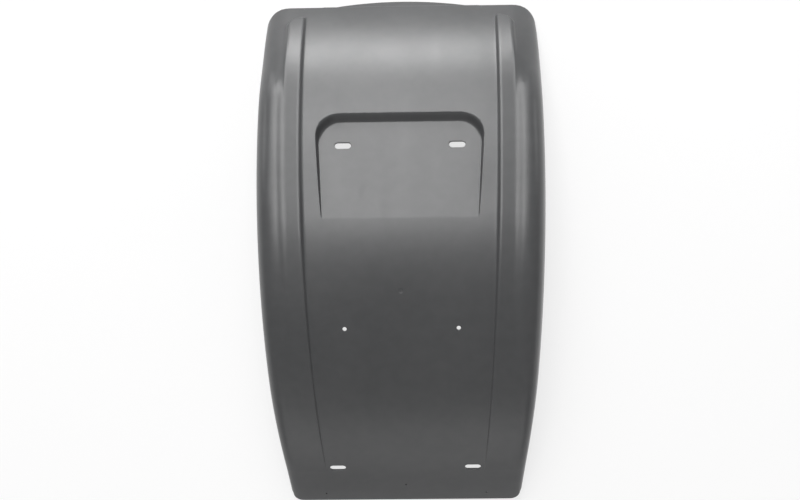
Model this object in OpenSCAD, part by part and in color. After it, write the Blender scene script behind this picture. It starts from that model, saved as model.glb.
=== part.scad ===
// Quarter mudguard for a truck or trailer wheel: one moulded plastic shell of even wall.
// The shell is the space between two lofted skins. Both come from one section law, which is
// swept along the arc. The shallow seat is pressed through both skins, so its wall stays even.
// X runs across the wheel, Y along the chord towards the overlap tongue, Z up at the crest.
// The guard lies on its two ends, and the origin is the middle of the bottom of its box.

/* [Arc] */
// Inner radius of the middle field, measured from the wheel's axle
inner_r = 550; // [450:1:650]
// Angle that the guard covers, without the tongue
arc_deg = 90; // [80:1:100]
// Wall thickness of the moulding
wall = 4; // [3:0.25:5]

/* [Outline] */
// Overall width at the widest place
guard_w = 444; // [420:1:500]
// How far above the crest the widest place is, as an angle
widest_deg = 16; // [8:1:26]
// Radius of the long curve that each side edge follows
side_sweep_r = 4670; // [4000:10:9000]
// How much further each side is drawn in at the lower end
end_pull = 4.8; // [0:0.2:8]
// Angle below the crest where the sides start to be drawn in
pull_from_deg = 21; // [10:1:35]
// Radius of the two corners at the upper end
upper_corner_r = 30; // [16:1:40]
// Radius of the two corners at the lower end
lower_corner_r = 18; // [10:1:26]

/* [Sides] */
// Depth of the side wall below the shoulder where it is deepest
side_deep = 52; // [40:1:64]
// Where the side wall is deepest, as an angle above the crest
deepest_deg = 8; // [0:1:14]
// Depth that is left of the side wall at the lower end
lower_end_deep = 8; // [7:0.5:14]
// Share of the side depth that is rounded shoulder, above the straight wall
shoulder_share = 0.78; // [0.7:0.01:0.85]
// Outward lean of the straight wall from its top to its edge
side_lean = 1.5; // [0.5:0.1:3]

/* [Raised bands] */
// Distance from the widest place of the side to the inner step of a band
band_in = 70; // [62:0.5:80]
// Where the two bands are farthest apart, as an angle above the crest
band_far_deg = 28; // [15:1:35]
// Radius of the long curve that each band follows
band_sweep_r = 7230; // [5500:10:12000]
// Width of the flat top of a band
band_w = 22; // [16:1:28]
// Height of a band above the middle field
band_h = 6; // [3:0.5:8]
// Width of the step up to a band, seen from above
step_run = 5; // [4:0.5:9]
// Width that the step keeps where the band has sunk
step_least = 1.5; // [1:0.25:3]
// Distance from the upper edge to the end of a band
band_gap = 24; // [22:1:40]
// Radius of the outer corner at the upper end of a band
band_corner_r = 18; // [8:1:24]
// Angle below the crest where a band starts to sink into the field
sink_from_deg = 8; // [0:1:20]
// Angle below the crest where a band has sunk into the field
sink_to_deg = 38.5; // [30:0.5:42]
// How the band sinks: 1 is an even ramp, and less keeps it higher before a blunt end
sink_power = 0.6; // [0.5:0.05:1]

/* [Shoulder] */
// Angle above the crest where the shoulder starts to rise to the band
rise_from_deg = 36; // [30:1:38]
// Angle above the crest where the shoulder has risen
rise_to_deg = 25; // [10:1:26]
// How square the risen shoulder is: 2 is an ellipse, and more has a flatter top
shoulder_square = 2.7; // [2:0.1:3.2]
// Where round its ellipse the shoulder starts beside a band that it hasn't risen to: 0 is level
fall_from_deg = 25; // [10:1:35]
// Angle above the crest from which that shoulder sinks below the band, towards the band's end
part_deg = 31; // [24:1:36]
// Share of the band height that the shoulder rises to
rise_share = 1; // [0.5:0.05:1]
// Depth of the groove between band and shoulder
groove_deep = 1.5; // [0.6:0.1:2]
// Angle below the crest where the groove starts to fade
fade_from_deg = 4; // [0:1:12]
// Angle below the crest where the groove has faded
fade_to_deg = 14; // [13:1:30]

/* [Seat] */
// Angle above the crest of the lower edge of the seat
seat_start_deg = 5.5; // [2:0.5:9]
// Tilt of the flat seat floor towards the upper end
seat_tilt = 19; // [16:0.5:21]
// Length of the seat floor from its lower edge to its upper wall
seat_len = 157; // [130:1:165]
// Distance from the inner step of a band to the side of the seat floor
seat_gap = 33; // [30:0.5:55]
// Angle by which each side of the seat floor opens towards the upper end
seat_open_deg = 3; // [0:0.25:3.5]
// Draft of the side walls of the seat
seat_side_draft = 10; // [8:1:30]
// Draft of the upper wall of the seat
seat_end_draft = 30; // [15:1:35]
// Radius of the two upper corners of the seat floor
seat_corner_r = 35; // [20:1:40]

/* [Overlap tongue] */
// Width of the tongue where it leaves the upper edge
tongue_w = 250; // [180:1:280]
// Length of the tongue at its middle
tongue_len = 18; // [10:1:22]
// Distance along the arc in which the tongue drops by one wall
joggle_run = 3.5; // [3:0.5:6]

/* [Fastening holes] */
// Length of every slot from end to end
slot_l = 25; // [20:0.5:28]
// Width of every slot
slot_w = 10; // [8:0.5:11]
// Distance of the middle of a seat slot from the side of the seat floor
upper_slot_in = 31.5; // [24:0.5:44]
// Distance of the seat slots from the lower edge of the seat
upper_slot_up = 118; // [90:1:125]
// Distance between the two round holes
round_spacing = 173; // [150:1:220]
// Diameter of the round holes
round_d = 6.4; // [5:0.1:8]
// Angle of the round holes below the crest
round_deg = 12; // [8:0.5:16]
// Distance of the middle of a lower slot from the line of the step beside it
lower_slot_in = 18.9; // [17:0.1:40]
// Distance of the lower slots from the lower edge
lower_slot_up = 74; // [60:1:90]
// Diameter of the three pilot holes
pilot_d = 2.5; // [2:0.1:4]
// Distance of an outer pilot hole from the side edge
pilot_in = 55.6; // [30:0.1:70]
// Distance of the outer pilot holes from the lower edge
pilot_up = 16.5; // [12:0.5:24]
// Distance of the middle pilot hole from the lower edge
mid_pilot_up = 36.5; // [30:0.5:45]

/* [Gate mark] */
// Angle of the moulding gate below the crest
gate_deg = 6; // [3:0.5:9]
// Diameter of the dimple around the gate
gate_d = 9; // [6:0.5:12]
// Depth of the dimple
gate_deep = 0.8; // [0.4:0.1:1.2]
// Diameter of the nub that the gate leaves in the dimple
nub_d = 2; // [1:0.1:3]

/* [Hidden] */
field_r = inner_r + wall;
half_arc = arc_deg / 2;
half_w = guard_w / 2;
band_x = half_w - band_in;
seat_w = 2 * (band_x - seat_gap);
big = 2 * guard_w;
$fn = 64;

// Sections are cut past both ends of the arc, and the ends are trimmed square afterwards.
over_deg = 2;
inner_over_deg = 1;
row_deg = 2;
rim_over = 12;
arc_steps = 9;

// Distances along the arc as angles, and angles as distances.
function to_deg(mm) = mm / field_r * 180 / PI;
function to_mm(deg) = deg / 180 * PI * field_r;
function ease(u) = let (c = min(1, max(0, u))) c * c * (3 - 2 * c);
function fall_back(p, top_p, sweep_r) = pow(to_mm(p - top_p), 2) / (2 * sweep_r);

band_stop_deg = half_arc - to_deg(band_gap + band_h);
bend_r = min(band_corner_r, band_w - wall);
tongue_far_deg = half_arc + to_deg(tongue_len) + over_deg;
deep_fall = (side_deep - lower_end_deep) / pow(half_arc + deepest_deg, 2);

// Laws along the arc: each takes the angle above the crest.
function side_x(p) = half_w - fall_back(p, widest_deg, side_sweep_r)
    - end_pull * ease((-p - pull_from_deg) / (half_arc - pull_from_deg));
function step_x(p) = band_x - fall_back(p, band_far_deg, band_sweep_r);
function side_drop(p) = side_deep - deep_fall * pow(p - deepest_deg, 2);
function sunk(p) =
    pow(min(1, max(0, (p + sink_to_deg) / (sink_to_deg - sink_from_deg))), sink_power);
function step_w(p) = max(step_least, step_run * sunk(p));
function stopped(p) = min(1, max(0, 1 - to_mm(p - band_stop_deg) / band_h));
function band_z(p) = band_h * sunk(p) * stopped(p);
function rise(p) = ease((rise_from_deg - p) / (rise_from_deg - rise_to_deg));
function shoulder_z(p) = band_h * rise_share * sunk(p);
function groove_dip(p) = groove_deep * sunk(p) * rise(p)
    * ease((p + fade_to_deg) / (fade_to_deg - fade_from_deg));
function corner_cut(p) =
    let (left = min(bend_r, max(0, bend_r - to_mm(band_stop_deg - p))))
    bend_r - sqrt(pow(bend_r, 2) - left * left);
function joggle(p, inset) =
    wall * min(1, max(0, (to_mm(p - half_arc) + inset / 2) / joggle_run));

// Beside a band that the shoulder hasn't risen to, it falls to the side as part of an ellipse.
// Its top sinks from the band's height to the field's towards the end of the band.
function away_z(p) = band_h * sunk(p) * ease((band_stop_deg - p) / (band_stop_deg - part_deg));
function away_deg(p) = fall_from_deg * away_z(p) / band_h;
function away_side(p, inset) = side_x(p) - side_lean - inset;
function away_width(p, inset) =
    away_side(p, inset) - (step_x(p) + step_run / 2 + band_w - inset / 4);
function away_x(p, inset, q) = away_side(p, inset)
    - away_width(p, inset) * (1 - sin(q)) / (1 - sin(away_deg(p)));
function away_height(p, inset, x) = let (
    left = min(1, max(0, (away_side(p, inset) - x) / away_width(p, inset))),
    q = asin(1 - left * (1 - sin(away_deg(p)))),
    low = -shoulder_share * side_drop(p)
) low + (away_z(p) - inset - low) * cos(q) / cos(away_deg(p));

// Half of a section from the step to the side edge, as [across, above the field].
// The inset moves every part of it inwards by the wall. The top of a band leans out into the
// groove beside the risen shoulder. Where that hasn't risen, the band's edge drops to what falls
// away to the side. The two paths have as many points, and one turns into the other.
groove_run = 2;
crown_run = 13;
drop_run = 6;
groove_steps = 3;
beside_steps = 2 * groove_steps + arc_steps;
function half_section(p, inset) = let (
    x_mid = step_x(p) + inset / 2,
    x_foot = x_mid - step_w(p) / 2,
    x_band = step_x(p) + step_run / 2 + band_w - corner_cut(p) - inset / 4,
    x_groove = step_x(p) + step_run / 2 + band_w + groove_run,
    x_crown = x_groove + crown_run,
    z_band = band_z(p),
    z_edge = z_band - groove_dip(p),
    z_crown = shoulder_z(p),
    z_groove = z_crown - groove_dip(p),
    drop = side_drop(p),
    round_drop = shoulder_share * drop,
    round_w = side_x(p) - side_lean - x_crown,
    risen_path = concat(
        [for (i = [0:groove_steps]) let (u = i / groove_steps)
            [x_band + (x_groove - x_band) * u, z_edge + (z_groove - z_edge) * ease(u) - inset]],
        [for (i = [1:groove_steps - 1]) let (u = i / groove_steps)
            [x_groove + crown_run * u, z_groove + (z_crown - z_groove) * ease(u) - inset]],
        [for (i = [0:arc_steps]) let (q = 90 * i / arc_steps, square = 2 / shoulder_square)
            [x_crown + (round_w - inset) * pow(sin(q), square),
             z_crown - round_drop + (round_drop - inset) * pow(max(0, cos(q)), square)]]
    ),
    q_from = away_deg(p) + (90 - away_deg(p)) * 0.4,
    x_far = away_x(p, inset, q_from),
    fallen_path = concat(
        [for (i = [0:groove_steps]) let (u = i / groove_steps, x = x_band + drop_run * u)
            [x, z_edge - inset + (away_height(p, inset, x) - z_edge + inset) * ease(u)]],
        [for (i = [1:groove_steps - 1])
            let (x = x_band + drop_run + (x_far - x_band - drop_run) * i / groove_steps)
            [x, away_height(p, inset, x)]],
        [for (i = [0:arc_steps])
            let (x = away_x(p, inset, q_from + (90 - q_from) * i / arc_steps))
            [x, away_height(p, inset, x)]]
    )
) concat(
    [for (i = [0:4]) let (u = i / 4)
        [x_foot + step_w(p) * u, z_band * ease(u) - inset]],
    [for (i = [0:beside_steps]) risen_path[i] * rise(p) + fallen_path[i] * (1 - rise(p))],
    [[side_x(p) - inset, z_crown * rise(p) - drop]],
    inset > 0 ? [[side_x(p) - inset, z_crown * rise(p) - drop - rim_over]] : []
);

function mirrored(half) = concat(
    [for (i = [len(half) - 1:-1:0]) [-half[i][0], half[i][1]]],
    half
);

function on_arc(x, z, p) = let (r = field_r + z) [x, r * sin(p), r * cos(p)];

// Angles of the sections: even ones, and closer ones at the band ends and at the joggle.
even_end = band_stop_deg - to_deg(bend_r) - row_deg / 2;
even_rows = ceil((even_end + half_arc + over_deg) / row_deg);
close_rows = concat(
    [for (i = [0:4]) band_stop_deg - to_deg(bend_r * (1 - sin(22.5 * i)))],
    [band_stop_deg + to_deg(band_h)],
    [for (i = [-1:2]) half_arc + to_deg(joggle_run * i / 2)],
    [for (i = [1:3]) half_arc + to_deg(joggle_run)
        + i / 3 * (tongue_far_deg - half_arc - to_deg(joggle_run))]
);
function rows(over) = concat(
    [for (i = [0:even_rows]) let (low = -half_arc - over_deg - over)
        low + (even_end - low) * i / even_rows],
    close_rows,
    over > 0 ? [tongue_far_deg + over] : []
);

// A solid under one skin: the loft of all sections, closed flat from edge to edge.
module skin_solid(inset) {
    angles = rows(inset > 0 ? inner_over_deg : 0);
    loops = [for (p = angles) mirrored(half_section(p, inset))];
    n = len(loops[0]);
    m = len(angles);
    skin = [for (i = [0:m - 1]) for (q = loops[i])
        on_arc(q[0], q[1] - joggle(angles[i], inset), angles[i])];
    mids = [for (i = [0, m - 1])
        on_arc(0, loops[i][0][1] - joggle(angles[i], inset), angles[i])];
    last = (m - 1) * n;
    faces = concat(
        [for (i = [0:m - 2]) for (j = [0:n - 2]) let (a = i * n + j)
            each [[a, a + n + 1, a + 1], [a, a + n, a + n + 1]]],
        [for (i = [1:m - 3]) let (a = i * n, b = a + n - 1)
            each [[a, b, b + n], [a, b + n, a + n]]],
        [[n, 0, m * n, n - 1, n + n - 1]],
        [[last - n, last - 1, last + n - 1, m * n + 1, last]],
        [for (j = [0:n - 2]) [m * n, j, j + 1]],
        [for (j = [0:n - 2]) [m * n + 1, last + j + 1, last + j]]
    );
    polyhedron(points = concat(skin, mids), faces = faces, convexity = 8);
}

// The seat: a tapered block with rounded upper corners, whose underside is the flat floor.
seat_y = field_r * sin(seat_start_deg);
seat_z = field_r * cos(seat_start_deg);
seat_high = 40;
seat_below = 30;
seat_arc_steps = 8;

module on_seat() {
    translate([0, seat_y, seat_z])
        rotate([-seat_tilt, 0, 0])
            children();
}

function seat_loop(z, grow) = let (
    side = grow / cos(seat_side_draft) + z * tan(seat_side_draft),
    far = seat_len + grow / cos(seat_end_draft) + z * tan(seat_end_draft),
    r = seat_corner_r + max(0, side),
    x_low = seat_w / 2 + side - seat_below * tan(seat_open_deg),
    x_far = seat_w / 2 + side + (far - r) * tan(seat_open_deg),
    right = [for (i = [0:seat_arc_steps]) let (q = 90 * i / seat_arc_steps)
        [x_far - r + r * cos(q), far - r + r * sin(q)]]
) concat(
    [[x_low, -seat_below]],
    right,
    [for (i = [seat_arc_steps:-1:0]) [-right[i][0], right[i][1]]],
    [[-x_low, -seat_below]]
);

module seat_block(grow) {
    low = seat_loop(-grow, grow);
    top = seat_loop(seat_high, grow);
    n = len(low);
    polyhedron(
        points = concat([for (q = low) [q[0], q[1], -grow]], [for (q = top) [q[0], q[1], seat_high]]),
        faces = concat(
            [[for (i = [0:n - 1]) i]],
            [[for (i = [n - 1:-1:0]) n + i]],
            [for (i = [0:n - 1]) let (k = (i + 1) % n) each [[i, n + i, n + k], [i, n + k, k]]]
        ),
        convexity = 2
    );
}

// Places a child on the field, facing out, at an angle above the crest.
module at_arc(p, r) {
    rotate([-p, 0, 0])
        translate([0, 0, r])
            children();
}

module slot() {
    linear_extrude(height = 6 * wall, center = true) {
        square([slot_l - slot_w, slot_w], center = true);
        for (side = [-1, 1])
            translate([side * (slot_l - slot_w) / 2, 0])
                circle(d = slot_w);
    }
}

module bored(d) {
    cylinder(h = 6 * wall, d = d, center = true);
}

module pair(spacing) {
    for (side = [-1, 1])
        translate([side * spacing / 2, 0, 0])
            children();
}

// What stays of an end, drawn flat: a straight edge on the X axis with two rounded corners.
module end_outline(corner_r, corner_x) {
    translate([-big / 2, -big])
        square([big, big - corner_r]);
    translate([-corner_x, -corner_r - 1])
        square([2 * corner_x, corner_r + 1]);
    pair(2 * corner_x)
        translate([0, -corner_r])
            circle(r = corner_r);
}

module tongue_outline() {
    tongue_r = (pow(tongue_w / 2, 2) + pow(tongue_len, 2)) / (2 * tongue_len);
    intersection() {
        translate([0, tongue_len - tongue_r])
            circle(r = tongue_r);
        translate([-tongue_w, -1])
            square([2 * tongue_w, tongue_len + 2]);
    }
}

// Cuts an end off square to the shell along the outline that is given as a child.
module end_cutter() {
    translate([0, 0, -field_r / 4])
        linear_extrude(height = field_r / 2)
            difference() {
                translate([-big / 2, -upper_corner_r - lower_corner_r])
                    square([big, big / 2]);
                children();
            }
}

module upper_cutter() {
    corner_x = side_x(half_arc - to_deg(upper_corner_r)) - upper_corner_r;
    at_arc(half_arc, field_r)
        end_cutter() {
            end_outline(upper_corner_r, corner_x);
            tongue_outline();
        }
}

module lower_cutter() {
    corner_x = side_x(-half_arc + to_deg(lower_corner_r)) - lower_corner_r;
    at_arc(-half_arc, field_r)
        mirror([0, 1, 0])
            end_cutter()
                end_outline(lower_corner_r, corner_x);
}

module holes() {
    lower_slot_deg = -half_arc + to_deg(lower_slot_up);
    pilot_deg = -half_arc + to_deg(pilot_up);
    on_seat()
        translate([0, upper_slot_up, 0])
            pair(seat_w - 2 * upper_slot_in)
                slot();
    at_arc(-round_deg, field_r)
        pair(round_spacing)
            bored(round_d);
    at_arc(lower_slot_deg, field_r)
        pair(2 * (step_x(lower_slot_deg) - lower_slot_in))
            slot();
    at_arc(pilot_deg, field_r)
        pair(2 * (side_x(pilot_deg) - pilot_in))
            bored(pilot_d);
    at_arc(-half_arc + to_deg(mid_pilot_up), field_r)
        bored(pilot_d);
}

module gate_dimple() {
    ball_r = (pow(gate_d / 2, 2) + pow(gate_deep, 2)) / (2 * gate_deep);
    at_arc(-gate_deg, field_r + ball_r - gate_deep)
        difference() {
            sphere(r = ball_r);
            translate([0, 0, -2 * ball_r])
                cylinder(h = 2 * ball_r, d = nub_d);
        }
}

// Rest position: the tongue tip is the lowest point, and the chord is centred on Y.
tip_in_r = sqrt(pow(inner_r - wall, 2) - pow(tongue_len, 2));
tip_out_r = sqrt(pow(inner_r, 2) - pow(tongue_len, 2));
rest_z = tip_in_r * cos(half_arc) - tongue_len * sin(half_arc);
far_y = tip_out_r * sin(half_arc) + tongue_len * cos(half_arc);
mid_y = (far_y - field_r * sin(half_arc)) / 2;

// The moulded wall: what lies between the two skins, with the seat pressed through both.
module moulding() {
    difference() {
        difference() {
            skin_solid(0);
            on_seat()
                seat_block(0);
        }
        difference() {
            skin_solid(wall);
            on_seat()
                seat_block(wall);
        }
    }
}

module trimmed() {
    difference() {
        moulding();
        upper_cutter();
        lower_cutter();
    }
}

module guard_shell() {
    color([0.24, 0.24, 0.25])
        translate([0, -mid_y, -rest_z])
            difference() {
                trimmed();
                holes();
                gate_dimple();
            }
}

guard_shell();
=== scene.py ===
import math

import bpy
import numpy as np
from mathutils import Matrix, Vector


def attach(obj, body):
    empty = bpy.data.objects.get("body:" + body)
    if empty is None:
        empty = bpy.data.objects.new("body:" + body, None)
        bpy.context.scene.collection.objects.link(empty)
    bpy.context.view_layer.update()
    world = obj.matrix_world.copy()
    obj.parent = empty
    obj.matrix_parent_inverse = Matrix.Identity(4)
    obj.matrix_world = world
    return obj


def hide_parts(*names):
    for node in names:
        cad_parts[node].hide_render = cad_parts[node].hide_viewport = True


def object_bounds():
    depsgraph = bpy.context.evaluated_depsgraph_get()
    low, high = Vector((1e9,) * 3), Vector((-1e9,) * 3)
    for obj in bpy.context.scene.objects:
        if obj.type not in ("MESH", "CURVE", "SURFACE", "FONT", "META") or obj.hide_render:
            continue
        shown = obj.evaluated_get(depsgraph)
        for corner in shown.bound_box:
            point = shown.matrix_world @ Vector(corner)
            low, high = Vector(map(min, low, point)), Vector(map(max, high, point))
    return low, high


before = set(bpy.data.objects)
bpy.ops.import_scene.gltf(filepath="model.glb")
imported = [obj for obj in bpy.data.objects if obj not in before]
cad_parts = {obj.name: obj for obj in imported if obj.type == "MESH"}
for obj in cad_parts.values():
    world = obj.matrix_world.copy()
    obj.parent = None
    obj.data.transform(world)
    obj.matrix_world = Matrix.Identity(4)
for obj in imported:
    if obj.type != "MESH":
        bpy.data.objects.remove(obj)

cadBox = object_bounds()
print("frame loaded, box", [round(v, 4) for corner in cadBox for v in corner])

mm = 0.001
degree = math.pi / 180

# The guard: a moulded shell between two skins, both from one section law along the arc.
guard = {
    "innerR": 550 * mm,          # inner radius of the middle field
    "halfArc": 45 * degree,
    "wall": 4 * mm,
    "halfW": cadBox[1].x,
    "widest": 16 * degree,       # where the guard is widest, above the crest
    "sideSweepR": 4670 * mm,
    "endPull": 4.8 * mm,         # how much more the sides draw in at the lower end
    "pullFrom": 21 * degree,     # where that starts, below the crest
    "upperCornerR": 30 * mm,
    "lowerCornerR": 18 * mm,
    "sideDeep": 52 * mm,
    "deepest": 8 * degree,
    "lowerEndDeep": 8 * mm,
    "shoulderShare": 0.78,
    "sideLean": 1.5 * mm,
    "bandX": 152 * mm,           # from the middle to the inner step of a band
    "bandFar": 28 * degree,
    "bandSweepR": 7230 * mm,
    "bandW": 22 * mm,
    "bandH": 6 * mm,
    "stepRun": 5 * mm,
    "stepLeast": 1.5 * mm,       # width that the step keeps where the band has sunk
    "bandGap": 24 * mm,
    "bandCornerR": 18 * mm,
    "sinkFrom": 8 * degree,      # the band sinks into the field between these, below the crest
    "sinkTo": 38.5 * degree,
    "sinkPower": 0.6,
    "riseFrom": 36 * degree,     # the shoulder rises to the band between these, above the crest
    "riseTo": 25 * degree,
    "square": 2.7,               # how square the risen shoulder is: 2 is an ellipse
    "grooveDeep": 1.5 * mm,
    "fadeFrom": 4 * degree,      # the groove fades out between these, below the crest
    "fadeTo": 14 * degree,
    "partFrom": 31 * degree,     # from here on an unrisen shoulder sinks below the band
    "fallFrom": 25 * degree,     # where round its ellipse an unrisen shoulder starts
    "grooveRun": 2 * mm,
    "crownRun": 13 * mm,
    "dropRun": 6 * mm,           # run of the band's outer edge where the shoulder hasn't risen
    "tongueW": 250 * mm,
    "tongueLen": 18 * mm,
    "joggleRun": 3.5 * mm,
    "edgeR": 0.8 * mm,           # small round on every free edge
}
seat = {
    "start": 5.5 * degree,       # lower edge of the floor, above the crest
    "tilt": 19 * degree,
    "length": 157 * mm,
    "halfW": 119 * mm,
    "open": 3 * degree,
    "sideDraft": 10 * degree,
    "endDraft": 30 * degree,
    "cornerR": 35 * mm,
    "lipSoft": 3.5 * mm,         # how softly the field turns down into the walls
    "footSoft": 3 * mm,          # how softly the walls meet the floor
    "creaseSoft": 0.4 * mm,      # how softly the field meets the lower edge of the floor
}
gate = {"down": 6 * degree, "dimpleR": 4.5 * mm, "deep": 0.8 * mm, "nubR": 1 * mm}

fieldR = guard["innerR"] + guard["wall"]
endS = fieldR * guard["halfArc"]  # length along the field from the crest to an end


# Smooth step: 3 c^2 - 2 c^3 of the value held between 0 and 1.
def ease(u):
    c = np.clip(u, 0, 1)
    return c * c * (3 - 2 * c)


# The smaller of two values, with the corner between them rounded over the given height.
def softMin(a, b, soft):
    h = np.clip(1 - np.abs(a - b) / soft, 0, 1)
    return np.minimum(a, b) - h * h * soft / 4


def softMax(a, b, soft):
    return -softMin(-a, -b, soft)


# How far a long curve has fallen back from its top: distance squared over twice its radius.
def fallBack(angle, top, sweepR):
    return (fieldR * (angle - top)) ** 2 / (2 * sweepR)


def sideX(angle):
    pull = guard["endPull"] * ease((-angle - guard["pullFrom"]) / (guard["halfArc"] - guard["pullFrom"]))
    return guard["halfW"] - fallBack(angle, guard["widest"], guard["sideSweepR"]) - pull


def stepX(angle):
    return guard["bandX"] - fallBack(angle, guard["bandFar"], guard["bandSweepR"])


def sideDrop(angle):
    fall = (guard["sideDeep"] - guard["lowerEndDeep"]) / (guard["halfArc"] + guard["deepest"]) ** 2
    return guard["sideDeep"] - fall * (angle - guard["deepest"]) ** 2


def sunk(angle):
    u = (angle + guard["sinkTo"]) / (guard["sinkTo"] - guard["sinkFrom"])
    return np.clip(u, 0, 1) ** guard["sinkPower"]


def stepW(angle):
    return np.maximum(guard["stepLeast"], guard["stepRun"] * sunk(angle))


bandStop = guard["halfArc"] - (guard["bandGap"] + guard["bandH"]) / fieldR


def bandZ(angle):
    return guard["bandH"] * sunk(angle) * ease(1 - fieldR * (angle - bandStop) / guard["bandH"])


def rise(angle):
    return ease((guard["riseFrom"] - angle) / (guard["riseFrom"] - guard["riseTo"]))


def crownZ(angle):
    return guard["bandH"] * sunk(angle)


def grooveDip(angle):
    fade = ease((angle + guard["fadeTo"]) / (guard["fadeTo"] - guard["fadeFrom"]))
    return guard["grooveDeep"] * sunk(angle) * rise(angle) * fade


def grooveX(angle):
    return stepX(angle) + guard["stepRun"] / 2 + guard["bandW"] + guard["grooveRun"]


# How much narrower the band is near its upper end: a quarter circle in plan.
def cornerCut(angle):
    r = guard["bandCornerR"]
    left = np.clip(r - fieldR * (bandStop - angle), 0, r)
    return r - np.sqrt(r * r - left * left)


def bandEdgeX(angle, depth):
    return stepX(angle) + guard["stepRun"] / 2 + guard["bandW"] - cornerCut(angle) - depth / 4


# Outside a band that the shoulder hasn't risen to, the surface falls to the side as part of an
# ellipse. Its top sinks from the band's height to the field's towards the end of the band.
def awayZ(angle):
    return guard["bandH"] * sunk(angle) * ease((bandStop - angle) / (bandStop - guard["partFrom"]))


def awaySide(angle, depth):
    side = sideX(angle) - guard["sideLean"] - depth
    return side, side - (stepX(angle) + guard["stepRun"] / 2 + guard["bandW"] - depth / 4)


def awayX(angle, depth, q):
    side, width = awaySide(angle, depth)
    return side - width * (1 - np.sin(q)) / (1 - np.sin(awayStart(angle)))


def awayStart(angle):
    return guard["fallFrom"] * awayZ(angle) / guard["bandH"]


def awayHeight(angle, depth, x):
    side, width = awaySide(angle, depth)
    left = np.clip((side - x) / width, 0, 1)
    q = np.arcsin(1 - left * (1 - np.sin(awayStart(angle))))
    low = -guard["shoulderShare"] * sideDrop(angle)
    return low + (awayZ(angle) - depth - low) * np.cos(q) / np.cos(awayStart(angle))


# From the risen section to the other one, by how far the shoulder has risen.
def mixRisen(angle, x, z, fallenX, fallenZ):
    r = rise(angle)
    return fallenX + (x - fallenX) * r, fallenZ + (z - fallenZ) * r


def joggle(angle, depth):
    run = (fieldR * (angle - guard["halfArc"]) + depth / 2) / guard["joggleRun"]
    return guard["wall"] * ease(run)


# Values from one stop to the next in even steps that are no longer than the given ones.
def spread(stops, steps):
    parts = [np.array([stops[0]])]
    for a, b, step in zip(stops[:-1], stops[1:], steps):
        parts.append(np.linspace(a, b, max(1, math.ceil((b - a) / step - 1e-6)) + 1)[1:])
    return np.concatenate(parts)


# Columns of the middle field, each at a fixed place plus a share of where the seat's side is and
# a share of how far its wall leans out. So columns run along the foot and the lip of that wall.
# Those before it are spread evenly, and all squeeze together where the field is narrow.
innerX = spread([0, 6 * mm, 70 * mm], [1 * mm, 9 * mm])
evenly = np.arange(1, 25) / 24
besideX = np.array([-2.1, -1.3, -0.8, -0.45, -0.15, 0.15, 0.45, 0.225, 0, -0.225,
                    -0.45, -0.15, 0.15, 0.45, 0.9, 1.7, 2.7]) * mm
besideLip = np.array([0, 0, 0, 0, 0, 0, 0, 0.25, 0.5, 0.75, 1, 1, 1, 1, 1, 1, 1])
fieldAt = np.concatenate([innerX, innerX[-1] * (1 - evenly) - 3 * mm * evenly, besideX])
fieldShare = np.concatenate([0 * innerX, evenly, 1 + 0 * besideX])
fieldLip = np.concatenate([0 * innerX, 0 * evenly, besideLip])
squeezeX = 145.5 * mm
leastLip = 1.1 * mm
stretches = {"field": len(fieldAt), "verge": 6, "step": 7, "band": 6,
             "slope": 5, "groove": 5, "shoulder": 14, "wall": 3}
seatSin = math.sin(seat["tilt"] - seat["start"])


# Distance along the arc of a place that lies w up the seat's floor, and the other way round.
def seatS(w):
    return fieldR * (seat["tilt"] + math.asin(w / fieldR - seatSin))


def seatW(angle):
    return fieldR * (np.sin(angle - seat["tilt"]) + seatSin)


# Where columns lie on the field, from the foot of the seat's side wall and its lean to the lip.
def fieldX(angle, depth, at, share, lip):
    draft = seat["sideDraft"]
    side = seat["halfW"] + depth * (1 / math.cos(draft) - math.tan(draft))
    side = side + np.clip(seatW(angle), -20 * mm, 190 * mm) * math.tan(seat["open"])
    high = fieldR * (np.cos(angle - seat["tilt"]) - math.cos(seat["start"] - seat["tilt"]))
    lean = np.maximum(leastLip, high * math.tan(draft))
    narrow = np.minimum(1, (stepX(angle) - guard["stepRun"] / 2) / squeezeX)
    return (at + share * side + lip * lean) * narrow


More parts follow.
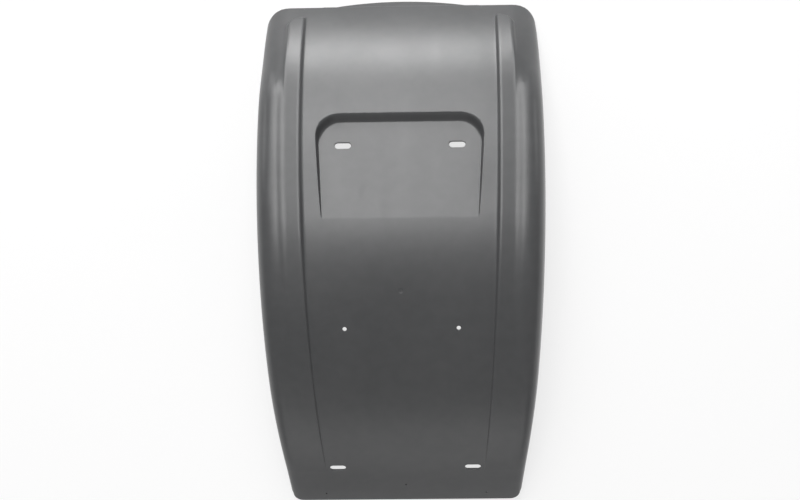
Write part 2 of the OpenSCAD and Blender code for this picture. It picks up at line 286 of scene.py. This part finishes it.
# Half a section, rows by columns. Across: field, step, band, slope, groove, a quarter ellipse
# for the shoulder and a straight wall. The depth moves it inwards through the wall.
def halfSection(angle, depth, pull):
    g = guard
    starts = np.cumsum([0] + list(stretches.values()))
    part = {name: angle[:, a:b] for name, a, b in zip(stretches, starts[:-1], starts[1:])}
    u = {name: np.arange(1, n + 1) / n for name, n in stretches.items()}
    xs, zs = [], []

    def add(x, z):
        xs.append(x)
        zs.append(z + np.zeros_like(x))

    a = part["field"]
    add(fieldX(a, depth, fieldAt, fieldShare, fieldLip), -depth)
    a = part["verge"]
    foot = stepX(a) + depth / 2 - stepW(a) / 2
    inner = fieldX(a, depth, fieldAt[-1], 1, 1)
    add(inner + (foot - inner) * u["verge"], -depth)
    a = part["step"]
    foot = stepX(a) + depth / 2 - stepW(a) / 2
    add(foot + stepW(a) * u["step"], bandZ(a) * ease(u["step"]) - depth)
    a = part["band"]
    top = stepX(a) + depth / 2 + stepW(a) / 2
    far = bandEdgeX(a, depth)
    add(top + (far - top) * u["band"], bandZ(a) - grooveDip(a) * u["band"] - depth)
    a = part["slope"]
    far = bandEdgeX(a, depth)
    edgeZ = bandZ(a) - grooveDip(a)
    grooveZ = crownZ(a) - grooveDip(a)
    x = far + g["dropRun"] * u["slope"]
    drop = (awayHeight(a, depth, x) - edgeZ + depth) * ease(u["slope"])
    add(*mixRisen(a, far + (grooveX(a) - far) * u["slope"],
                  edgeZ + (grooveZ - edgeZ) * ease(u["slope"]) - depth, x, edgeZ - depth + drop))
    a = part["groove"]
    start = awayStart(a) + (math.pi / 2 - awayStart(a)) * 0.4
    near = bandEdgeX(a, depth) + g["dropRun"]
    x = near + (awayX(a, depth, start) - near) * u["groove"]
    add(*mixRisen(a, grooveX(a) + g["crownRun"] * u["groove"],
                  crownZ(a) - grooveDip(a) * (1 - ease(u["groove"])) - depth,
                  x, awayHeight(a, depth, x)))
    a = part["shoulder"]
    crown = grooveX(a) + g["crownRun"]
    roundH = g["shoulderShare"] * sideDrop(a)
    roundW = sideX(a) - g["sideLean"] - crown
    q = u["shoulder"] * math.pi / 2
    sine = np.sin(q) ** (2 / g["square"])
    cosine = np.maximum(0, np.cos(q)) ** (2 / g["square"])
    start = awayStart(a) + (math.pi / 2 - awayStart(a)) * 0.4
    x = awayX(a, depth, start + (math.pi / 2 - start) * u["shoulder"])
    add(*mixRisen(a, crown + (roundW - depth) * sine,
                  crownZ(a) - roundH + (roundH - depth) * cosine, x, awayHeight(a, depth, x)))
    a = part["wall"]
    drop = sideDrop(a)
    down = (1 - g["shoulderShare"]) * drop - pull
    add(sideX(a) - g["sideLean"] * (1 - u["wall"]) - depth,
        crownZ(a) * rise(a) - g["shoulderShare"] * drop - down * u["wall"])
    return np.concatenate(xs, 1), np.concatenate(zs, 1)


# The whole section: the half on both sides of the middle column.
def section(angle, depth, pull):
    half = angle.shape[1] // 2
    left = halfSection(angle[:, half::-1], depth, pull)
    right = halfSection(angle[:, half:], depth, pull)
    x = np.concatenate([-left[0][:, :0:-1], right[0]], 1)
    return x, np.concatenate([left[1][:, :0:-1], right[1]], 1)


# Height of the seat's wall above its floor at a place in plan: where the tapered loop at that
# height, a rectangle with two round corners, passes through the place. Found by halving.
def seatWall(x, w, depth):
    lo = np.full(x.shape, -10 * mm)
    hi = np.full(x.shape, 90 * mm)
    sideTan, endTan, openTan = (math.tan(seat[k]) for k in ("sideDraft", "endDraft", "open"))
    for step in range(26):
        z = (lo + hi) / 2
        side = depth / math.cos(seat["sideDraft"]) + z * sideTan
        far = seat["length"] + depth / math.cos(seat["endDraft"]) + z * endTan
        r = seat["cornerR"] + np.maximum(0, side)
        cx = seat["halfW"] + side + (far - r) * openTan - r
        beside = np.abs(x) - seat["halfW"] - side - w * openTan
        corner = np.hypot(np.abs(x) - cx, w - far + r) - r
        out = np.where(w < far - r, beside, np.where(np.abs(x) < cx, w - far, corner))
        lo = np.where(out > 0, z, lo)
        hi = np.where(out > 0, hi, z)
    return (lo + hi) / 2


tipInR = math.sqrt((guard["innerR"] - guard["wall"]) ** 2 - guard["tongueLen"] ** 2)
tipOutR = math.sqrt(guard["innerR"] ** 2 - guard["tongueLen"] ** 2)
restZ = tipInR * math.cos(guard["halfArc"]) - guard["tongueLen"] * math.sin(guard["halfArc"])
farY = tipOutR * math.sin(guard["halfArc"]) + guard["tongueLen"] * math.cos(guard["halfArc"])
midY = (farY - fieldR * math.sin(guard["halfArc"])) / 2


# Depth of the gate's dimple: a shallow bowl with a nub left standing in its middle.
def gateDimple(x, angle):
    far = np.hypot(x, fieldR * (angle + gate["down"]))
    bowl = gate["deep"] * (1 - ease(far / gate["dimpleR"]))
    return bowl - gate["deep"] * 0.9 * (1 - ease((far - gate["nubR"] * 0.5) / gate["nubR"]))


# Points of a skin: across and above the field, wound on the arc, then pressed into the seat.
def onGuard(x, z, angle, depth):
    z = z - joggle(angle, depth) - gateDimple(x, angle) * (1 - depth / guard["wall"])
    y = (fieldR + z) * np.sin(angle)
    z = (fieldR + z) * np.cos(angle)
    dy = y - fieldR * math.sin(seat["start"])
    dz = z - fieldR * math.cos(seat["start"])
    c, s = math.cos(seat["tilt"]), math.sin(seat["tilt"])
    w = dy * c - dz * s
    high = dy * s + dz * c
    wall = seatWall(x, w, depth)
    floor = softMax(-depth + 0 * wall, wall, seat["footSoft"])
    soft = seat["creaseSoft"] + (seat["lipSoft"] - seat["creaseSoft"]) * ease((wall + depth) / seat["lipSoft"])
    high = high - softMin(high, floor, soft)
    return np.stack([x, y - high * s - midY, z - high * c - restZ], -1)


# Where the ends stop, as a distance past the end line at a place across the guard.
def endLine(x, cornerR, cornerX, tongue):
    out = np.clip((np.abs(x) - cornerX) / cornerR, 0, 1)
    line = -cornerR * (1 - np.sqrt(1 - out * out))
    if tongue:
        r = (guard["tongueW"] ** 2 / 4 + guard["tongueLen"] ** 2) / (2 * guard["tongueLen"])
        lens = guard["tongueLen"] - r + np.sqrt(np.maximum(0, r * r - x * x))
        line = np.maximum(line, lens)
    return line


# Angle at which each column meets the end line, found by halving.
def endAngle(depth, pull, upper):
    sign = 1 if upper else -1
    r = guard["upperCornerR"] if upper else guard["lowerCornerR"]
    cornerX = sideX(sign * (guard["halfArc"] - r / fieldR)) - r
    lo = np.full((1, columns), guard["halfArc"] - 1.3 * r / fieldR)
    hi = np.full((1, columns), guard["halfArc"] + 1.3 * guard["tongueLen"] / fieldR)
    for step in range(30):
        middle = (lo + hi) / 2
        x, z = section(sign * middle, depth, pull)
        past = (fieldR + z) * np.sin(middle - guard["halfArc"]) - endLine(x, r, cornerX, upper)
        lo = np.where(past < 0, middle, lo)
        hi = np.where(past < 0, hi, middle)
    return sign * (lo + hi) / 2


columns = 2 * sum(stretches.values()) - 1

holes = {
    "slotL": 25 * mm, "slotW": 10 * mm, "roundD": 6.4 * mm, "pilotD": 2.5 * mm,
    "upperSlotX": 87.5 * mm, "upperSlotUp": 118 * mm,
    "roundX": 86.5 * mm, "roundDown": 12 * degree,
    "lowerSlotX": 105.5 * mm, "lowerSlotUp": 74 * mm,
    "pilotX": 126.5 * mm, "pilotUp": 16.5 * mm, "midPilotUp": 36.5 * mm,
}
roundS = -fieldR * holes["roundDown"]
lowerSlotS = -endS + holes["lowerSlotUp"]
gateS = -fieldR * gate["down"]

# Rows along the arc: close together at the ends, the holes, the gate and the seat's walls.
lowBendS = -endS + 26 * mm
highBendS = endS - 55 * mm
lastS = endS - 4 * mm
rowS = spread(
    [-endS, -endS + 12 * mm, -endS + 42 * mm, lowerSlotS - 10 * mm, lowerSlotS + 10 * mm,
     roundS - 8 * mm, roundS + 8 * mm, gateS - 6 * mm, gateS + 6 * mm,
     seatS(-4 * mm), seatS(4 * mm), seatS(34 * mm), seatS(106 * mm), seatS(130 * mm), seatS(154 * mm),
     seatS(170 * mm), highBendS, endS - 22 * mm, lastS],
    [2 * mm, 1.6 * mm, 6 * mm, 1.8 * mm,
     10 * mm, 1.6 * mm, 8 * mm, 1.1 * mm,
     10 * mm, 1 * mm, 5 * mm, 8 * mm, 1.9 * mm, 1.8 * mm,
     0.9 * mm, 10 * mm, 2.8 * mm, 3.5 * mm])
endRows = 14


# Angles of all rows and columns. The rows beside an end are squeezed to fit its outline.
def gridAngles(depth, pull):
    low = fieldR * endAngle(depth, pull, False) + pull
    high = fieldR * endAngle(depth, pull, True) - pull
    s = np.repeat(rowS[:, None], columns, 1)
    t = np.clip((lowBendS - s) / (lowBendS + endS), 0, 1)
    s = np.where(s < lowBendS, lowBendS + (low - lowBendS) * t, s)
    zone = np.minimum(lastS, high - 4 * mm)
    t = np.clip((s - highBendS) / (lastS - highBendS), 0, 1)
    s = np.where(s > highBendS, highBendS + (zone - highBendS) * t, s)
    past = np.arange(1, endRows + 1)[:, None] / endRows
    long = np.minimum(9 * mm / np.maximum(high - zone, 9 * mm), 1) * 9 / endRows * 1.0
    share = np.where(past <= 9 / endRows, past * endRows / 9 * long,
                     long + (1 - long) * (past * endRows - 9) / (endRows - 9))
    return np.concatenate([s, zone + (high - zone) * share]) / fieldR


def skin(depth, pull):
    angle = gridAngles(depth, pull)
    x, z = section(angle, depth, pull)
    return onGuard(x, z, angle, depth), x, angle


# A closed loop round the edge of a grid, as row and column numbers.
def loopRound(r0, r1, c0, c1):
    r = np.concatenate([np.full(c1 - c0, r0), np.arange(r0, r1), np.full(c1 - c0, r1), np.arange(r1, r0, -1)])
    c = np.concatenate([np.arange(c0, c1), np.full(r1 - r0, c1), np.arange(c1, c0, -1), np.full(r1 - r0, c0)])
    return r, c


# Four-sided faces between neighbouring loops of vertex numbers.
def between(loops):
    faces = []
    for a, b in zip(loops[:-1], loops[1:]):
        faces.append(np.stack([a, np.roll(a, -1), np.roll(b, -1), b], 1))
    return np.concatenate(faces)


# Round of a free edge, from the outer skin to the inner one, as pairs of pull and depth.
quarter = np.radians([0, 30, 60, 90])
pulls = guard["edgeR"] * (1 - np.sin(quarter))
depths = guard["edgeR"] * (1 - np.cos(quarter))
edgePath = list(zip(pulls, depths)) + [(0, guard["wall"] / 2)]
edgePath += [(p, guard["wall"] - d) for p, d in zip(pulls[::-1], depths[::-1])]

outer, outerX, outerAngle = skin(0, guard["edgeR"])
inner, innerX, innerAngle = skin(guard["wall"], guard["edgeR"])
rows = len(outer)
print("skins", rows, "rows by", columns, "columns")

points = [outer.reshape(-1, 3), inner.reshape(-1, 3)]
count = 2 * rows * columns
number = np.arange(rows * columns).reshape(rows, columns)
keep = np.ones((rows - 1, columns - 1), bool)
faceLists = []


# Adds loops of new points and returns their vertex numbers.
def addLoops(loops):
    global count
    added = []
    for loop in loops:
        points.append(loop)
        added.append(np.arange(count, count + len(loop)))
        count += len(loop)
    return added


r, c = loopRound(0, rows - 1, 0, columns - 1)
rimLoops = addLoops([skin(d, p)[0][r, c] for p, d in edgePath[1:-1]])
rim = between([number[r, c]] + rimLoops + [number[r, c] + rows * columns])
faceLists.append(rim[:, ::-1])


# A hole with straight ends and round sides, or a round one: the grid cells about it make way
# for loops that close in on its outline, go through the wall and open out again inside.
def addHole(cx, angle, length, width, tilt=0.0, offset=0.0):
    half = (length - width) / 2
    room = width / 2 + 2.4 * mm
    mid = np.argmin(np.abs(outerAngle[:, columns // 2] - angle))
    c0 = np.searchsorted(outerX[mid], cx - half - room) - 1
    c1 = np.searchsorted(outerX[mid], cx + half + room)
    rowAngle = outerAngle[:, (c0 + c1) // 2]
    r0 = np.searchsorted(rowAngle, angle - room / fieldR) - 1
    r1 = np.searchsorted(rowAngle, angle + room / fieldR)
    keep[r0:r1, c0:c1] = False
    r, c = loopRound(r0, r1, c0, c1)

    def outline(depth, grow, x, a):
        radius = fieldR - depth
        if tilt:
            plan = radius * (np.sin(a - tilt)) - fieldR * math.sin(seat["start"] - tilt) - offset
        else:
            plan = radius * np.sin(a - angle)
        core = np.clip(x - cx, -half, half)
        way = np.stack([x - cx - core, plan])
        way = way / np.linalg.norm(way, axis=0) * (width / 2 + grow)
        newX = cx + core + way[0]
        if tilt:
            newA = tilt + np.arcsin((way[1] + offset + fieldR * math.sin(seat["start"] - tilt)) / radius)
        else:
            newA = angle + np.arcsin(way[1] / radius)
        return newX, newA

    def place(x, a, depth):
        return onGuard(x, -depth + 0 * x, a, depth)

    x, a = outerX[r, c], outerAngle[r, c]
    ix, ia = innerX[r, c], innerAngle[r, c]
    loops = []
    nearX, nearA = outline(0, guard["edgeR"] / 2, x, a)
    for t in (0.45, 0.8, 1):
        loops.append(place(x + (nearX - x) * t, a + (nearA - a) * t, 0))
    for p, d in edgePath[1:-1]:
        holeX, holeA = outline(d, p / 2, ix if d > guard["wall"] / 2 else x, ia if d > guard["wall"] / 2 else a)
        loops.append(place(holeX, holeA, d))
    nearX, nearA = outline(guard["wall"], guard["edgeR"] / 2, ix, ia)
    for t in (1, 0.8, 0.45):
        loops.append(place(ix + (nearX - ix) * t, ia + (nearA - ia) * t, guard["wall"]))
    added = addLoops(loops)
    faceLists.append(between([number[r, c]] + added + [number[r, c] + rows * columns]))


for side in (-1, 1):
    addHole(side * holes["upperSlotX"], seatS(holes["upperSlotUp"]) / fieldR, holes["slotL"],
            holes["slotW"], seat["tilt"], holes["upperSlotUp"])
    addHole(side * holes["roundX"], -holes["roundDown"], holes["roundD"], holes["roundD"])
    addHole(side * holes["lowerSlotX"], lowerSlotS / fieldR, holes["slotL"], holes["slotW"])
    addHole(side * holes["pilotX"], (-endS + holes["pilotUp"]) / fieldR, holes["pilotD"], holes["pilotD"])
addHole(0, (-endS + holes["midPilotUp"]) / fieldR, holes["pilotD"], holes["pilotD"])

a, b, c, d = number[:-1, :-1][keep], number[:-1, 1:][keep], number[1:, 1:][keep], number[1:, :-1][keep]
faceLists.append(np.stack([a, b, c, d], 1))
faceLists.append(np.stack([d, c, b, a], 1) + rows * columns)

allPoints = np.concatenate(points)
faces = np.concatenate(faceLists)
used = np.zeros(len(allPoints), bool)
used[faces] = True
renumber = np.cumsum(used) - 1
allPoints, faces = allPoints[used], renumber[faces]


# Puts points and four-sided faces into a smooth-shaded mesh object.
def meshObject(name, points, faces):
    mesh = bpy.data.meshes.new(name)
    mesh.vertices.add(len(points))
    mesh.vertices.foreach_set("co", points.astype(np.float32).ravel())
    mesh.loops.add(faces.size)
    mesh.loops.foreach_set("vertex_index", faces.astype(np.int32).ravel())
    mesh.polygons.add(len(faces))
    mesh.polygons.foreach_set("loop_start", np.arange(0, faces.size, 4, dtype=np.int32))
    mesh.update(calc_edges=True)
    mesh.polygons.foreach_set("use_smooth", np.ones(len(faces), bool))
    mesh.validate()
    obj = bpy.data.objects.new(name, mesh)
    bpy.context.scene.collection.objects.link(obj)
    return obj


shell = meshObject("guardShell", allPoints, faces)
print("guard shell", len(faces), "faces")


def newMaterial(name):
    material = bpy.data.materials.new(name)
    material.use_nodes = True
    nodes = material.node_tree.nodes
    nodes.clear()
    return material, nodes, material.node_tree.links


plastic = {
    "dark": (0.060, 0.061, 0.063, 1),
    "light": (0.073, 0.074, 0.076, 1),
    "sheenFrom": 0.285,          # roughness, from the shiniest places to the dullest
    "sheenTo": 0.335,
    "specular": 0.5,
    "cloudScale": 7.0,           # colour clouds, in clouds to a metre
    "mottleScale": 60.0,
    "flowScale": 26.0,           # streaks that the plastic leaves as it flows from the gate
    "grainScale": 900.0,         # fine grain of the mould's surface
    "grainHigh": 0.02 * mm,
    "rippleScale": 11.0,         # slow unevenness of a cooled moulding
    "rippleHigh": 0.05 * mm,
    "scuffScale": 34.0,
    "scuffShare": 0.05,          # how much rougher a scuff is
}


# A noise texture on the given coordinates.
def noise(nodes, links, coords, scale, detail):
    node = nodes.new("ShaderNodeTexNoise")
    node.inputs["Scale"].default_value = scale
    node.inputs["Detail"].default_value = detail
    links.new(coords, node.inputs["Vector"])
    return node.outputs["Fac"]


# Turns the range a..b of a value into c..d.
def ranged(nodes, links, value, a, b, c, d):
    node = nodes.new("ShaderNodeMapRange")
    for socket, number in zip(("From Min", "From Max", "To Min", "To Max"), (a, b, c, d)):
        node.inputs[socket].default_value = number
    links.new(value, node.inputs["Value"])
    return node.outputs["Result"]


def math2(nodes, links, operation, a, b):
    node = nodes.new("ShaderNodeMath")
    node.operation = operation
    links.new(a, node.inputs[0])
    links.new(b, node.inputs[1])
    return node.outputs[0]


def bump(nodes, links, height, distance, normal=None):
    node = nodes.new("ShaderNodeBump")
    node.inputs["Strength"].default_value = 1.0
    node.inputs["Distance"].default_value = distance
    links.new(height, node.inputs["Height"])
    if normal:
        links.new(normal, node.inputs["Normal"])
    return node.outputs["Normal"]


# Satin moulded plastic: near black with faint clouds, flow streaks along the arc, a few light
# scuffs that only dull it, a slow ripple and a fine grain.
def guardPlastic():
    p = plastic
    material, nodes, links = newMaterial("guardPlastic")
    out = nodes.new("ShaderNodeOutputMaterial")
    shader = nodes.new("ShaderNodeBsdfPrincipled")
    shader.inputs["Specular IOR Level"].default_value = p["specular"]
    coords = nodes.new("ShaderNodeTexCoord").outputs["Object"]
    along = nodes.new("ShaderNodeMapping")
    along.inputs["Scale"].default_value = (1, 0.12, 0.5)
    links.new(coords, along.inputs["Vector"])
    across = nodes.new("ShaderNodeMapping")
    across.inputs["Rotation"].default_value = (0, 0, 0.6)
    across.inputs["Scale"].default_value = (1, 0.06, 1)
    links.new(coords, across.inputs["Vector"])

    clouds = noise(nodes, links, coords, p["cloudScale"], 3)
    mottle = noise(nodes, links, coords, p["mottleScale"], 4)
    flow = noise(nodes, links, along.outputs["Vector"], p["flowScale"], 5)
    scuff = noise(nodes, links, across.outputs["Vector"], p["scuffScale"], 6)

    shade = math2(nodes, links, "ADD", ranged(nodes, links, clouds, 0.3, 0.7, 0, 0.6),
                  ranged(nodes, links, mottle, 0.35, 0.65, 0, 0.4))
    tint = nodes.new("ShaderNodeMix")
    tint.data_type = "RGBA"
    tint.inputs[6].default_value = p["dark"]
    tint.inputs[7].default_value = p["light"]
    links.new(shade, tint.inputs[0])
    links.new(tint.outputs[2], shader.inputs["Base Color"])

    dull = ranged(nodes, links, flow, 0.3, 0.7, p["sheenFrom"], p["sheenTo"])
    worn = ranged(nodes, links, scuff, 0.66, 0.74, 0, p["scuffShare"])
    links.new(math2(nodes, links, "ADD", dull, worn), shader.inputs["Roughness"])

    ripple = noise(nodes, links, coords, p["rippleScale"], 1)
    grain = noise(nodes, links, coords, p["grainScale"], 2)
    slow = bump(nodes, links, ripple, p["rippleHigh"])
    links.new(bump(nodes, links, grain, p["grainHigh"], slow), shader.inputs["Normal"])
    links.new(shader.outputs["BSDF"], out.inputs["Surface"])
    return material


shell.data.materials.append(guardPlastic())
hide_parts("guard_shell")
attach(shell, "root")

floor = {"half": 40.0, "color": (0.94, 0.94, 0.94, 1), "shown": 0.75}


# Plain pale floor. Camera, mirror and see-through rays also see a steady white in it.
def paleFloor():
    h = floor["half"]
    mesh = bpy.data.meshes.new("floor")
    mesh.from_pydata([(-h, -h, 0), (h, -h, 0), (h, h, 0), (-h, h, 0)], [], [(0, 1, 2, 3)])
    obj = bpy.data.objects.new("floor", mesh)
    bpy.context.scene.collection.objects.link(obj)
    material, nodes, links = newMaterial("paleFloor")
    out = nodes.new("ShaderNodeOutputMaterial")
    diffuse = nodes.new("ShaderNodeBsdfDiffuse")
    diffuse.inputs["Color"].default_value = floor["color"]
    glow = nodes.new("ShaderNodeEmission")
    glow.inputs["Strength"].default_value = 1.0
    mix = nodes.new("ShaderNodeMixShader")
    path = nodes.new("ShaderNodeLightPath")
    seen = nodes.new("ShaderNodeMath")
    seen.operation = "MAXIMUM"
    seenToo = nodes.new("ShaderNodeMath")
    seenToo.operation = "MAXIMUM"
    share = nodes.new("ShaderNodeMath")
    share.operation = "MULTIPLY"
    share.inputs[1].default_value = floor["shown"]
    links.new(path.outputs["Is Camera Ray"], seen.inputs[0])
    links.new(path.outputs["Is Glossy Ray"], seen.inputs[1])
    links.new(seen.outputs[0], seenToo.inputs[0])
    links.new(path.outputs["Is Transmission Ray"], seenToo.inputs[1])
    links.new(seenToo.outputs[0], share.inputs[0])
    links.new(share.outputs[0], mix.inputs[0])
    links.new(diffuse.outputs[0], mix.inputs[1])
    links.new(glow.outputs[0], mix.inputs[2])
    links.new(mix.outputs[0], out.inputs["Surface"])
    obj.data.materials.append(material)
    return obj


paleFloor()

world = bpy.data.worlds.new("studio")
bpy.context.scene.world = world
world.use_nodes = True
world.node_tree.nodes["Background"].inputs["Color"].default_value = (1, 1, 1, 1)
world.node_tree.nodes["Background"].inputs["Strength"].default_value = 0.34

# Soft panels on an arc over the far side: degrees from straight up, place across and glow.
arcFar = 3.0
arcWide = 1.1
arcTall = arcFar * 10 * degree
arcPanels = [(5, -0.2, 1.0), (15, -0.2, 8.8), (25, -0.2, 4.6), (25, -1.3, 2.4), (35, -0.2, 5.8),
             (45, -0.2, 6.8), (55, -0.2, 6.6), (65, -0.2, 3.6), (78, -0.2, 17.0), (85, -0.2, 0.6),
             (85, -1.3, 3.0)]
# Wider ones: place, width, height and glow.
widePanels = [((-2.4, 1.6, 1.0), 1.2, 1.0, 2.2), ((2.4, 1.6, 1.0), 1.2, 1.0, 1.7),
              ((0, -2.6, 0.9), 3.0, 1.1, 1.0)]
litAt = Vector((0, 0, 0.17))


# A panel that faces the guard. Its power follows from its area and how brightly it glows.
def lightPanel(at, wide, tall, glow):
    data = bpy.data.lights.new("panel", "AREA")
    data.shape = "RECTANGLE"
    data.size = wide
    data.size_y = tall
    data.energy = math.pi * wide * tall * glow
    obj = bpy.data.objects.new("panel", data)
    obj.location = at
    obj.rotation_euler = (litAt - Vector(at)).to_track_quat("-Z", "Y").to_euler()
    obj.visible_camera = False
    bpy.context.scene.collection.objects.link(obj)


for up, x, glow in arcPanels:
    high = litAt.z + arcFar * math.cos(up * degree)
    lightPanel((x, arcFar * math.sin(up * degree), high), arcWide, arcTall, glow)
for panel in widePanels:
    lightPanel(*panel)

# The camera looks straight down from 3 m, turned a little to the photograph's own angle.
view = {"aim": (-0.0006, -0.0011, 0.18), "far": 3.0, "yaw": 1.894 * degree,
        "pitch": 0.245 * degree, "roll": -0.696 * degree, "lens": 89.55}


def studioCamera():
    data = bpy.data.cameras.new("camera")
    data.lens = view["lens"]
    obj = bpy.data.objects.new("camera", data)
    turn = (Matrix.Rotation(view["yaw"], 4, "Y") @ Matrix.Rotation(view["pitch"], 4, "X")
            @ Matrix.Rotation(view["roll"], 4, "Z"))
    back = turn @ Vector((0, 0, view["far"]))
    obj.matrix_world = Matrix.Translation(Vector(view["aim"]) + back) @ turn
    bpy.context.scene.collection.objects.link(obj)
    bpy.context.scene.camera = obj


studioCamera()
bpy.context.scene.view_settings.view_transform = "Standard"
